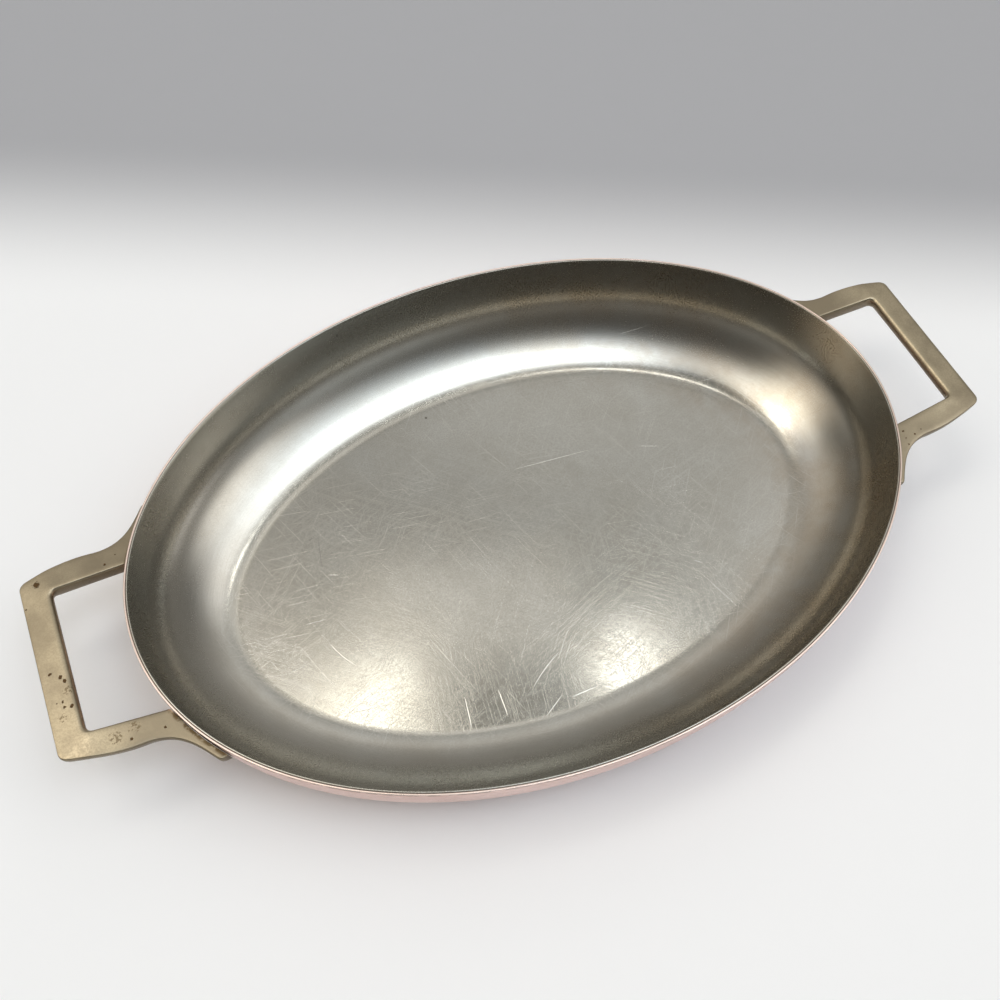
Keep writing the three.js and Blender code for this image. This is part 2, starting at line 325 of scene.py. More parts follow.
# Handles
handleShape = {
    "gripWidth": 11 * mm,
    "gripDepth": 6.5 * mm,
    "topFall": 0.5 * mm,           # from the inner to the outer edge of the top face
    "gripSpan": 72.6 * mm,
    "cornerRadius": 2.4 * mm,
    "fingerGapSpan": 59.6 * mm,
    "fingerGapRadius": 3 * mm,
    "legDepth": 7.2 * mm,
    "legWaistSpan": 82.6 * mm,
    "legWaistReach": 5 * mm,
    "rootGapSpan": 65.4 * mm,
    "footSpan": 112 * mm,
    "footTipThickness": 3.1 * mm,
    "footDrop": 3.6 * mm,          # from the lip down to the handle's top at the wall
    "footGap": 0.3 * mm,
    "footBite": 2 * mm,            # how far the uncut foot reaches into the wall
    "midFootShare": 0.12,          # where the tip ends, as a share of the foot's length
    "footPull": 0.6,               # how long the foot's outer edge keeps to the wall's direction
    "waistPull": 0.55,             # how early it turns into the waist
    "legBow": 0.7 * mm,            # how far the leg's outer edge bows out past the waist
    "legPull": 0.33,               # where the leg's control points lie along it
    "cornerSlant": 0.45,           # how far the outer edge still slopes in at the corner
}
legSection = {
    "depth": handleShape["legDepth"],
    "outerRound": (0.7 * mm, 0.8 * mm),        # inwards and down
    "outerUndercut": 6.2 * mm,
    "innerRound": (1.3 * mm, 1.5 * mm),
    "innerUndercut": 2 * mm,
}
gripSection = {
    "depth": handleShape["gripDepth"],
    "outerRound": (0.4 * mm, 0.6 * mm),
    "outerUndercut": 5.2 * mm,
    "innerRound": (2.2 * mm, 2 * mm),
    "innerUndercut": 4.4 * mm,
}
sectionSteps = {"round": 6, "side": 8, "top": 6}
stretchSteps = {"tip": 6, "foot": 28, "leg": 20, "corner": 12, "grip": 16}
pinShape = {
    "diameter": 3.5 * mm,
    "length": 7 * mm,
    "span": 71 * mm,               # between the two pins of one handle, at the wall
    "sideGap": 0.15 * mm,
    "endGap": 0.3 * mm,
    "holeSides": 32,
}

gripOuter = handleBox[1].x
gripInner = gripOuter - handleShape["gripWidth"]


def angleAcross(y):
    return math.asin(y / halfWidth)


def blend(first, second, share):
    return first + (second - first) * share


def wallCurve(fromAngle, toAngle, inset, steps):
    turn = (toAngle - fromAngle) / steps
    return [ovalPoint(fromAngle + turn * step, inset) for step in range(steps + 1)]


def straight(start, end, steps):
    return [blend(start, end, step / steps) for step in range(steps + 1)]


def bezier(start, firstPull, secondPull, end, steps):
    return [Vector(point.xy) for point in interpolate_bezier(
        start.to_3d(), firstPull.to_3d(), secondPull.to_3d(), end.to_3d(), steps + 1)]


def cornerBezier(start, corner, end, steps):
    return bezier(start, blend(start, corner, 2 / 3), blend(end, corner, 2 / 3), end, steps)


rootAngle = angleAcross(handleShape["rootGapSpan"] / 2)
rootPoint = ovalPoint(rootAngle, 0)


def handleTop(x):
    # Height of the inner top edge, which rises from the wall to the grip
    share = (min(x, gripInner) - rootPoint.x) / (gripInner - rootPoint.x)
    return panHeight - handleShape["footDrop"] * (1 - share)


def handleStretches():
    # Pairs of outer and inner edge points, from the tip of the foot to the middle of the grip
    size = handleShape
    tipThickness = size["footTipThickness"]
    footAngle = angleAcross(size["footSpan"] / 2)
    tipAngle = angleAcross(size["footSpan"] / 2 - tipThickness / 2)
    midFootAngle = footAngle + (rootAngle - footAngle) * size["midFootShare"]
    tip = ovalPoint(footAngle, -size["footGap"])
    shoulder = ovalPoint(tipAngle, -tipThickness)
    pastShoulder = ovalPoint(tipAngle + (rootAngle - tipAngle) * size["midFootShare"], -tipThickness)
    along = (pastShoulder - shoulder).normalized()
    waist = Vector((halfLength + size["legWaistReach"], size["legWaistSpan"] / 2))
    corner = Vector((gripOuter, size["gripSpan"] / 2))
    cornerStart = corner + Vector((-1, size["cornerSlant"])) * size["cornerRadius"]
    cornerEnd = Vector((corner.x, corner.y - size["cornerRadius"]))
    gapCorner = Vector((gripInner, size["fingerGapSpan"] / 2))
    gapStart = gapCorner - (gapCorner - rootPoint).normalized() * size["fingerGapRadius"]
    gapEnd = Vector((gapCorner.x, gapCorner.y - size["fingerGapRadius"]))
    legLength = cornerStart.x - waist.x
    lateY = waist.y + (cornerStart.y - waist.y) * size["legPull"]
    footEnd = Vector((waist.x - (waist.x - shoulder.x) * size["waistPull"], waist.y))
    steps = stretchSteps
    return [
        (cornerBezier(tip, shoulder - along * tipThickness / 2, shoulder, steps["tip"]),
         wallCurve(footAngle, midFootAngle, size["footBite"], steps["tip"])),
        (bezier(shoulder, shoulder + along * (shoulder.y - waist.y) * size["footPull"], footEnd, waist,
                steps["foot"]),
         wallCurve(midFootAngle, rootAngle, size["footBite"], steps["foot"])),
        (bezier(waist, Vector((waist.x + legLength * size["legPull"], waist.y + size["legBow"])),
                Vector((cornerStart.x - legLength * size["legPull"], lateY)), cornerStart, steps["leg"]),
         straight(ovalPoint(rootAngle, size["footBite"]), gapStart, steps["leg"])),
        (cornerBezier(cornerStart, corner, cornerEnd, steps["corner"]),
         cornerBezier(gapStart, gapCorner, gapEnd, steps["corner"])),
        (straight(cornerEnd, Vector((corner.x, 0)), steps["grip"]),
         straight(gapEnd, Vector((gapCorner.x, 0)), steps["grip"])),
    ]


def sideProfile(rounding, undercut, depth):
    # A quarter round and the side below it, as insets from the edge and depths
    points = []
    for step in range(sectionSteps["round"] + 1):
        angle = step / sectionSteps["round"] * math.pi / 2
        points.append((rounding[0] * (1 - math.sin(angle)), rounding[1] * (1 - math.cos(angle))))
    for step in range(1, sectionSteps["side"] + 1):
        angle = step / sectionSteps["side"] * math.pi / 2
        down = rounding[1] + (depth - rounding[1]) * math.sin(angle)
        points.append((undercut * (1 - math.cos(angle)), down))
    return points


def handleSection(outer, inner, share):
    # A ring of points round the handle. The leg's section turns into the grip's as share goes to 1.
    def mix(name):
        return blend(legSection[name], gripSection[name], share)

    def mixPair(name):
        return [blend(*pair, share) for pair in zip(legSection[name], gripSection[name])]

    width = (inner - outer).length
    legWidth = (handleShape["legWaistSpan"] - handleShape["rootGapSpan"]) / 2
    narrowing = min(1, width / legWidth)
    outerSide = sideProfile(mixPair("outerRound"), mix("outerUndercut") * narrowing, mix("depth"))
    innerSide = sideProfile(mixPair("innerRound"), mix("innerUndercut") * narrowing, mix("depth"))
    left = outerSide[0][0]
    right = width - innerSide[0][0]
    steps = sectionSteps["top"]
    top = [(blend(left, right, step / steps), 0) for step in range(1, steps)]
    ring = outerSide[::-1] + top + [(width - inset, down) for inset, down in innerSide]
    points = []
    for inset, down in ring:
        across = inset / width
        point = blend(outer, inner, across)
        level = handleTop(point.x) - handleShape["topFall"] * (1 - across)
        points.append(Vector((point.x, point.y, level - down)))
    return points


def extrudeRing(bm, ring, places):
    # Grows the skin from one ring of points to the next
    edges = [bm.edges.get((ring[i - 1], ring[i])) for i in range(len(ring))]
    made = bmesh.ops.extrude_edge_only(bm, edges=edges)
    fresh = set(item for item in made["geom"] if isinstance(item, bmesh.types.BMVert))
    following = []
    for vertex, place in zip(ring, places):
        neighbours = [edge.other_vert(vertex) for edge in vertex.link_edges]
        partner = next(other for other in neighbours if other in fresh)
        partner.co = place
        following.append(partner)
    return following


def handleHalf():
    # The leg's section turns into the grip's in the last stretch but one, round the corner
    bm = bmesh.new()
    stretches = handleStretches()
    corner = len(stretches) - 2
    ring = None
    for number, (outer, inner) in enumerate(stretches):
        for step in range(1 if number else 0, len(outer)):
            share = {corner: step / (len(outer) - 1), corner + 1: 1.0}.get(number, 0.0)
            places = handleSection(outer[step], inner[step], share)
            if ring is None:
                ring = [bm.verts.new(place) for place in places]
                bm.faces.new(ring)
            else:
                ring = extrudeRing(bm, ring, places)
    return bm


def wallCutter(name, gap):
    # The filled pan, standing a gap outside the copper
    points = skinPoints(-gap) + [(halfWidth, panHeight)]
    return makeObject(name, spinProfile(points, panShape["turns"]))


def pinCutter(name, side):
    pinHeight = panHeight - handleShape["footDrop"] - handleShape["legDepth"] / 2
    sweep = panShape["lipSweepRadius"]
    wallInset = sweep - math.sqrt(sweep ** 2 - (panHeight - pinHeight) ** 2)
    angle = angleAcross(pinShape["span"] / 2) * side
    start = ovalPoint(angle, wallInset - pinShape["endGap"])
    middle = ovalPoint(angle, wallInset - pinShape["endGap"] - pinShape["length"] / 2)
    turn = math.atan2((middle - start).y, (middle - start).x)
    bm = bmesh.new()
    radius = pinShape["diameter"] / 2 + pinShape["sideGap"]
    place = (Matrix.Translation((middle.x, middle.y, pinHeight)) @ Matrix.Rotation(turn, 4, "Z")
             @ Matrix.Rotation(math.pi / 2, 4, "Y"))
    bmesh.ops.create_cone(bm, cap_ends=True, segments=pinShape["holeSides"], radius1=radius, radius2=radius,
                          depth=pinShape["length"] + 2 * pinShape["endGap"], matrix=place)
    return makeObject(name, bm)


def cutBy(made, cutters):
    for cutter in cutters:
        cut = made.modifiers.new("cut", "BOOLEAN")
        cut.operation = "DIFFERENCE"
        cut.solver = "EXACT"
        cut.object = cutter
    bpy.context.view_layer.update()
    shaped = made.evaluated_get(bpy.context.evaluated_depsgraph_get())
    mesh = bpy.data.meshes.new_from_object(shaped)
    made.modifiers.clear()
    made.data = mesh
    for cutter in cutters:
        bpy.data.objects.remove(cutter)


def makeHandles():
    bm = handleHalf()
    bmesh.ops.mirror(bm, geom=bm.verts[:] + bm.edges[:] + bm.faces[:], matrix=Matrix.Identity(4),
                     merge_dist=mergeDistance, axis="Y")
    bmesh.ops.remove_doubles(bm, verts=bm.verts, dist=mergeDistance)
    bmesh.ops.recalc_face_normals(bm, faces=bm.faces)
    right = makeObject("right_cast_handle", bm)
    panForm = wallCutter("pan form", handleShape["footGap"])
    cutBy(right, [panForm, pinCutter("rear hole", 1), pinCutter("front hole", -1)])
    shade(right.data)
    left = bpy.data.objects.new("left_cast_handle", right.data.copy())
    left.data.transform(Matrix.Rotation(math.pi, 4, "Z"))
    bpy.context.scene.collection.objects.link(left)
    for made, node in ((right, "right_handle"), (left, "left_handle")):
        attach(made, "root")
        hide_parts(node)
    return right, left


rightHandle, leftHandle = makeHandles()
print("handles ready")


# Brushing marks. Around runs with the oval and Up from the floor to the lip.
# Radius goes from 0 in the middle to 1 at the lip.
brushingNoise = {"scale": 1.0, "detail": 3.0, "rough": 0.6}


def makeBrushing():
    inputs = {"Fineness": 420.0, "Breaks": 6.0}
    group, given, out = makeGroup("brushing marks", inputs, ["Around", "Up", "Radius"])
    flat = vectorCalc(group, "MULTIPLY", given["Vector"], (1 / halfLength, 1 / halfWidth, 0))
    radius = vectorCalc(group, "LENGTH", flat)
    around = vectorCalc(group, "NORMALIZE", flat)
    height = separate(group, given["Vector"])["Z"]
    climb = calc(group, "ADD", radius, calc(group, "MULTIPLY", height, 1 / halfWidth))
    for name, aroundScale, climbScale in (("Around", "Breaks", "Fineness"), ("Up", "Fineness", "Breaks")):
        turned = scaled(group, around, given[aroundScale])
        lifted = combine(group, z=calc(group, "MULTIPLY", climb, given[climbScale]))
        place = vectorCalc(group, "ADD", turned, lifted)
        group.links.new(noise(group, place, **brushingNoise), out.inputs[name])
    group.links.new(radius, out.inputs["Radius"])
    return group


# Sparse hairlines along one direction, gently bent. Turn is in radians.
hairlineNoise = {"scale": 1.0, "detail": 1.0, "rough": 0.5}
hairlineEdge = 0.07                  # how far the noise rises across a line's edge
bendNoise = {"scale": 20.0, "detail": 0.0}
bendDepth = 5 * mm


def makeHairlines():
    inputs = {"Turn": 0.0, "Length": 30 * mm, "Width": 0.2 * mm, "Level": 0.62}
    group, given, out = makeGroup("hairlines", inputs, ["Lines"])
    turned = addNode(group, "ShaderNodeVectorRotate", {"Vector": given["Vector"], "Angle": given["Turn"]},
                     rotation_type="Z_AXIS").outputs[0]
    parts = separate(group, turned)
    bend = calc(group, "MULTIPLY", noise(group, turned, **bendNoise), bendDepth)
    along = calc(group, "DIVIDE", parts["X"], given["Length"])
    across = calc(group, "DIVIDE", calc(group, "ADD", parts["Y"], bend), given["Width"])
    place = combine(group, along, across, parts["Z"])
    ranges = {
        "Value": noise(group, place, **hairlineNoise),
        "From Min": given["Level"],
        "From Max": calc(group, "ADD", given["Level"], hairlineEdge),
    }
    group.links.new(addNode(group, "ShaderNodeMapRange", ranges).outputs["Result"], out.inputs["Lines"])
    return group


# One scratch seen from above. Place is its middle, Size half its length and half its width,
# and Bow how many half widths its middle stands off the straight line.
def makeScratch():
    inputs = {"Place": (0, 0, 0), "Turn": (0, 0, 0), "Size": (1, 1, 1), "Bow": 0.0}
    group, given, out = makeGroup("one scratch", inputs, ["Mark"])
    ownFrame = {
        "Vector": given["Vector"],
        "Location": given["Place"],
        "Rotation": given["Turn"],
        "Scale": given["Size"],
    }
    local = addNode(group, "ShaderNodeMapping", ownFrame, vector_type="TEXTURE").outputs[0]
    parts = separate(group, local)
    taper = calc(group, "SUBTRACT", 1.0, calc(group, "MULTIPLY", parts["X"], parts["X"]), clamp=True)
    across = calc(group, "SUBTRACT", parts["Y"], calc(group, "MULTIPLY", given["Bow"], taper))
    away = calc(group, "ABSOLUTE", across)
    mark = calc(group, "SUBTRACT", calc(group, "SQRT", taper), away, clamp=True)
    group.links.new(mark, out.inputs["Mark"])
    return group


# A small pit or spot with a ragged edge
spotNoise = {"scale": 1300.0, "detail": 2.0}
spotEdge = {"wobble": 2.0, "outside": 1.1, "inside": 0.7}


def makeSpot():
    inputs = {"Centre": (0, 0, 0), "Radius": 1 * mm, "Ragged": 0.9}
    group, given, out = makeGroup("spot", inputs, ["Mark"])
    grain = calc(group, "SUBTRACT", noise(group, given["Vector"], **spotNoise), 0.5)
    wobble = calc(group, "MULTIPLY", grain, given["Ragged"], spotEdge["wobble"])
    distance = vectorCalc(group, "DISTANCE", given["Vector"], given["Centre"])
    away = calc(group, "ADD", calc(group, "DIVIDE", distance, given["Radius"]), wobble)
    group.links.new(fade(group, away, spotEdge["outside"], spotEdge["inside"]), out.inputs["Mark"])
    return group


# Blotches of tarnish with cloudy edges
tarnishNoise = {"detail": 6.0, "rough": 0.62}


def makeTarnish():
    inputs = {"Size": 20 * mm, "Cover": 0.5, "Softness": 0.2}
    group, given, out = makeGroup("tarnish", inputs, ["Mask"])
    scale = calc(group, "DIVIDE", 1.0, given["Size"])
    cloud = noise(group, given["Vector"], scale, **tarnishNoise)
    level = calc(group, "SUBTRACT", 1.0, given["Cover"])
    low = calc(group, "SUBTRACT", level, given["Softness"])
    high = calc(group, "ADD", level, given["Softness"])
    group.links.new(fade(group, cloud, low, high), out.inputs["Mask"])
    return group


# Where handling has rubbed the edges bright, which also paints a highlight on them, and where the hollows
# are darkened
wornNoise = {"scale": 700.0, "detail": 3.0}
wornEdgesAndHighlight = {"grit": 0.03, "edges": (0.52, 0.6), "hollows": (0.49, 0.42)}    # of Pointiness


def makeEdgeWearAndHighlight():
    group, given, out = makeGroup("worn and highlit edges", {}, ["Edges", "Hollows"])
    point = addNode(group, "ShaderNodeNewGeometry").outputs["Pointiness"]
    grain = calc(group, "SUBTRACT", noise(group, given["Vector"], **wornNoise), 0.5)
    rubbed = calc(group, "ADD", point, calc(group, "MULTIPLY", grain, wornEdgesAndHighlight["grit"]))
    group.links.new(fade(group, rubbed, *wornEdgesAndHighlight["edges"]), out.inputs["Edges"])
    group.links.new(fade(group, rubbed, *wornEdgesAndHighlight["hollows"]), out.inputs["Hollows"])
    return group


brushing = makeBrushing()
hairlines = makeHairlines()
scratch = makeScratch()
spot = makeSpot()
tarnish = makeTarnish()
edgeWearAndHighlight = makeEdgeWearAndHighlight()


def startMaterial(name, metallic=1.0):
    material = bpy.data.materials.new(name)
    material.use_nodes = True
    tree = material.node_tree
    shader = tree.nodes["Principled BSDF"]
    shader.inputs["Metallic"].default_value = metallic
    place = addNode(tree, "ShaderNodeTexCoord").outputs["Object"]
    return material, tree, shader, place


def finishMaterial(tree, shader, base, rough, height, depth):
    bump = addNode(tree, "ShaderNodeBump", {"Height": height, "Strength": 1.0, "Distance": depth})
    tree.links.new(base, shader.inputs["Base Color"])
    tree.links.new(rough, shader.inputs["Roughness"])
    tree.links.new(bump.outputs["Normal"], shader.inputs["Normal"])


def scratchMarks(tree, place, piece, marks, halfBreadth):
    # The given scratches, each from one pixel of the photograph to another
    total = 0.0
    for mark in marks:
        start = seenAt(piece, mark["from"])
        end = seenAt(piece, mark["to"])
        run = (end - start).xy
        middle = (start + end) / 2
        made = useGroup(tree, scratch, Vector=place, Place=(middle.x, middle.y, 0),
                        Turn=(0, 0, math.atan2(run.y, run.x)), Size=(run.length / 2, halfBreadth, 1),
                        Bow=mark.get("bow", 0.0))
        total = calc(tree, "MAXIMUM", total, made["Mark"])
    return total


def spotMarks(tree, place, piece, marks):
    # The given spots, each at one pixel of the photograph
    total = 0.0
    for mark in marks:
        centre = tuple(seenAt(piece, mark["at"]))
        made = useGroup(tree, spot, Vector=place, Centre=centre, Radius=mark["radius"])
        total = calc(tree, "MAXIMUM", total, made["Mark"])
    return total


# Brushed steel of the lining. A pair gives a low and a high end, or a value at each.
steelFinish = {
    "colour": colour(0.52, 0.512, 0.472),
    "dullColour": colour(0.455, 0.44, 0.395),
    "grainColour": colour(0.33, 0.31, 0.27),
    "wallStain": colour(0.40, 0.325, 0.24),
    "lineColour": colour(0.68, 0.67, 0.63),
    # lighter on the bright scratches, a painted glint on real scratches
    "scratchGlintColour": colour(0.84, 0.83, 0.79),
    "stainColour": colour(0.16, 0.145, 0.13),
    "lineCover": 0.4,
    "stainCover": 0.8,
    "roughness": (0.125, 0.235),           # on the floor and on the wall
    "wallHeights": (1.7 * mm, 8 * mm),     # where the floor's finish turns into the wall's
    "markHeights": (2.4 * mm, 6 * mm),     # where the floor's scouring marks fade out
    "wallRadii": (0.62, 0.8),              # where the wall's brushing sets in, as shares of the oval
    "brushing": {"Fineness": 330.0, "Breaks": 7.0},
    "brushRange": (0.35, 0.65),
    "brushCover": 0.15,
    "cloud": {"Size": 0.03, "Cover": 0.5, "Softness": 0.25},
    "cloudRoughness": 0.03,
    "patches": {"Size": 0.05, "Cover": 0.55, "Softness": 0.2},
    "patchShares": (0.55, 1.0),            # how strong the scouring marks are off and on the patches
    "grain": {"scale": 1700.0, "detail": 3.0, "rough": 0.6},
    "grainRange": (0.35, 0.65),
    "grainCover": (0.3, 0.14),             # on the floor and on the wall
    "grainSpread": (0.25, 0.75),
    "grainRoughness": (-0.02, 0.03),
    "stainReach": (-30 * mm, 90 * mm),     # along the pan
    "stainShares": (0.05, 0.6),
    "hairlineDirections": 6,
    "hairlineTurn": 0.35,                  # of the first direction, in steps between two of them
    "hairlineLayers": 0.3,                 # metres between the slices of noise, so that no two match
    "coarseLines": {"width": 0.32 * mm, "level": 0.68, "weight": 1.0},
    "fineLines": {"width": 0.2 * mm, "level": 0.6, "weight": 0.45},
    "lineRoughness": 0.08,
    "markBreadth": 0.13 * mm,              # half the width of a scratch
    "bumpDepth": 0.01 * mm,
    "grainRelief": 0.3,                    # shares of bumpDepth
    "brushRelief": 0.35,
    "lineRelief": 0.65,
    "markRelief": 2.5,
}
# Scratches painted lighter as a glint, besides their grooves in the relief
brightScratches = [
    {"from": (329, 575), "to": (339, 575)},
    {"from": (636, 446), "to": (662, 446)},
    {"from": (693, 560), "to": (704, 563)},
    {"from": (512, 470), "to": (592, 449)},
    {"from": (288, 674), "to": (309, 664)},
    {"from": (305, 625), "to": (327, 619)},
    {"from": (330, 644), "to": (357, 666), "bow": -5.0},
    {"from": (465, 698), "to": (472, 729)},
    {"from": (498, 689), "to": (508, 716)},
    {"from": (532, 690), "to": (560, 651), "bow": 5.0},
    {"from": (546, 717), "to": (563, 694)},
    {"from": (572, 697), "to": (598, 686)},
]
darkScratches = [
    {"from": (308, 542), "to": (315, 536)},
    {"from": (317, 530), "to": (323, 576)},
    {"from": (453, 544), "to": (466, 543)},
    {"from": (326, 390), "to": (335, 408)},
    {"from": (618, 334), "to": (651, 324)},
]
darkSpots = [
    {"at": (426, 418), "radius": 0.7 * mm},
    {"at": (337, 336), "radius": 0.8 * mm},
]


def hairlineField(tree, place):
    total = 0.0
    count = steelFinish["hairlineDirections"]
    kinds = (steelFinish["coarseLines"], steelFinish["fineLines"])
    for number in range(count):
        kind = kinds[number % 2]
        layer = vectorCalc(tree, "ADD", place, (0, 0, steelFinish["hairlineLayers"] * number))
        turn = math.pi * (number + steelFinish["hairlineTurn"]) / count
        lines = useGroup(tree, hairlines, Vector=layer, Turn=turn,
                         Width=kind["width"], Level=kind["level"])["Lines"]
        total = calc(tree, "MAXIMUM", total, calc(tree, "MULTIPLY", lines, kind["weight"]))
    return total


def makeSteel(bowl):
    finish = steelFinish
    material, tree, shader, place = startMaterial("brushed steel")
    height = separate(tree, place)["Z"]
    onFloor = fade(tree, height, *finish["markHeights"], 1.0, 0.0)
    marks = useGroup(tree, brushing, Vector=place, **finish["brushing"])
    onWall = fade(tree, marks["Radius"], *finish["wallRadii"])
    grain = noise(tree, place, **finish["grain"])
    patches = useGroup(tree, tarnish, Vector=place, **finish["patches"])["Mask"]
    cloud = useGroup(tree, tarnish, Vector=place, **finish["cloud"])["Mask"]
    worn = calc(tree, "MULTIPLY", onFloor, fade(tree, patches, 0.0, 1.0, *finish["patchShares"]))
    lines = calc(tree, "MULTIPLY", hairlineField(tree, place), worn)
    bright = scratchMarks(tree, place, bowl, brightScratches, finish["markBreadth"])
    dark = scratchMarks(tree, place, bowl, darkScratches, finish["markBreadth"])
    dark = calc(tree, "MAXIMUM", dark, spotMarks(tree, place, bowl, darkSpots))

    base = mixColour(tree, cloud, finish["colour"], finish["dullColour"])
    along = separate(tree, place)["X"]
    towardRight = fade(tree, along, *finish["stainReach"], *finish["stainShares"])
    stained = calc(tree, "MULTIPLY", cloud, onWall, towardRight)
    base = mixColour(tree, stained, base, finish["wallStain"])
    grained = calc(tree, "MULTIPLY", fade(tree, grain, *finish["grainRange"]),
                   fade(tree, marks["Radius"], *finish["wallRadii"], *finish["grainCover"]))
    base = mixColour(tree, grained, base, finish["grainColour"])
    brushed = calc(tree, "MULTIPLY", fade(tree, marks["Around"], *finish["brushRange"]),
                   calc(tree, "MULTIPLY", onWall, finish["brushCover"]))
    base = mixColour(tree, brushed, base, finish["grainColour"])
    base = mixColour(tree, calc(tree, "MULTIPLY", lines, finish["lineCover"]), base, finish["lineColour"])
    # painted glint on the bright scratches
    base = mixColour(tree, bright, base, finish["scratchGlintColour"])
    base = mixColour(tree, calc(tree, "MULTIPLY", dark, finish["stainCover"]), base, finish["stainColour"])

    brightMarks = calc(tree, "MAXIMUM", lines, bright)
    rough = fade(tree, height, *finish["wallHeights"], *finish["roughness"])
    rough = calc(tree, "ADD", rough, fade(tree, grain, *finish["grainSpread"], *finish["grainRoughness"]))
    rough = calc(tree, "ADD", rough, calc(tree, "MULTIPLY", cloud, finish["cloudRoughness"]))
    rough = calc(tree, "ADD", rough, calc(tree, "MULTIPLY", brightMarks, finish["lineRoughness"]))

    deepMarks = calc(tree, "MAXIMUM", bright, dark)
    relief = calc(tree, "MULTIPLY", grain, finish["grainRelief"])
    relief = calc(tree, "ADD", relief, calc(tree, "MULTIPLY", marks["Up"], onWall, finish["brushRelief"]))
    relief = calc(tree, "SUBTRACT", relief, calc(tree, "MULTIPLY", lines, finish["lineRelief"]))
    relief = calc(tree, "SUBTRACT", relief, calc(tree, "MULTIPLY", deepMarks, finish["markRelief"]))
    finishMaterial(tree, shader, base, rough, relief, finish["bumpDepth"])
    return material


# Copper of the body, satin outside and rubbed bright on the lip
copperFinish = {
    "colour": colour(0.82, 0.60, 0.54),
    "dullColour": colour(0.68, 0.46, 0.40),
    "lipColour": colour(0.84, 0.69, 0.62),
    # dark for the broken dirt line, and for the dirt and painted shade over the feet
    "crustShadeColour": colour(0.07, 0.05, 0.038),
    "brushing": {"Fineness": 500.0, "Breaks": 6.0},
    "cloud": {"Size": 0.03, "Cover": 0.45, "Softness": 0.2},
    "brushRange": (0.25, 0.75),
    "roughness": (0.25, 0.37),
    "dirtRoughness": 0.4,
    "lipBand": 0.3 * mm,                   # the rubbed band below the top of the lip
    "lipBlend": 0.1 * mm,
    "dirtBand": 0.9 * mm,                  # the broken dark line below that
    "dirtBlend": (-0.2 * mm, 0.1 * mm),    # where it fades out, from its lower edge
    "dirtBreaks": {"scale": 160.0, "detail": 4.0, "rough": 0.7},
    "dirtRange": (0.42, 0.56),
    "dirtShare": 0.75,
    "crustShadeStart": (31 * mm, 36 * mm),      # across the pan, where dirt and painted shade set in over each foot
    "crustShadeStop": (53 * mm, 55 * mm),       # and where it ends
    "crustShadeHeights": (32 * mm, 36 * mm),
    "crustShadeReach": (0.7, 0.75),             # along the pan, as shares of its half length
    "crustShadeFlecks": {"scale": 420.0, "detail": 3.0, "rough": 0.65},
    "crustShadeRange": (0.34, 0.44),
    "bumpDepth": 0.012 * mm,
}


def footCrustShade(tree, place):
    # Dirt and painted shade on the wall over each of the four feet, up to the lip
    finish = copperFinish
    parts = separate(tree, vectorCalc(tree, "ABSOLUTE", place))
    starts = fade(tree, parts["Y"], *finish["crustShadeStart"])
    stops = fade(tree, parts["Y"], *finish["crustShadeStop"], 1.0, 0.0)
    atEnd = fade(tree, parts["X"], *(halfLength * share for share in finish["crustShadeReach"]))
    above = fade(tree, parts["Z"], *finish["crustShadeHeights"])
    flecks = fade(tree, noise(tree, place, **finish["crustShadeFlecks"]), *finish["crustShadeRange"])
    return calc(tree, "MULTIPLY", starts, stops, atEnd, above, flecks)


def makeCopper():
    finish = copperFinish
    material, tree, shader, place = startMaterial("satin copper")
    height = separate(tree, place)["Z"]
    marks = useGroup(tree, brushing, Vector=place, **finish["brushing"])
    cloud = useGroup(tree, tarnish, Vector=place, **finish["cloud"])["Mask"]
    lipFoot = panHeight - finish["lipBand"]
    onLip = fade(tree, height, lipFoot - finish["lipBlend"], lipFoot)
    belowLip = calc(tree, "SUBTRACT", 1.0, onLip)
    inDirt = fade(tree, height, *(panHeight - finish["dirtBand"] + edge for edge in finish["dirtBlend"]))
    broken = fade(tree, noise(tree, place, **finish["dirtBreaks"]), *finish["dirtRange"])
    line = calc(tree, "MULTIPLY", inDirt, belowLip, broken, finish["dirtShare"])
    # the dirt line, and dirt with painted shade in the gap between each foot and the lip
    dirtAndShade = calc(tree, "MAXIMUM", line, calc(tree, "MULTIPLY", footCrustShade(tree, place), belowLip))
    base = mixColour(tree, cloud, finish["colour"], finish["dullColour"])
    base = mixColour(tree, onLip, base, finish["lipColour"])
    base = mixColour(tree, dirtAndShade, base, finish["crustShadeColour"])
    rough = fade(tree, marks["Around"], *finish["brushRange"], *finish["roughness"])
    rough = calc(tree, "ADD", rough, calc(tree, "MULTIPLY", dirtAndShade, finish["dirtRoughness"]))
    finishMaterial(tree, shader, base, rough, marks["Around"], finish["bumpDepth"])
    return material


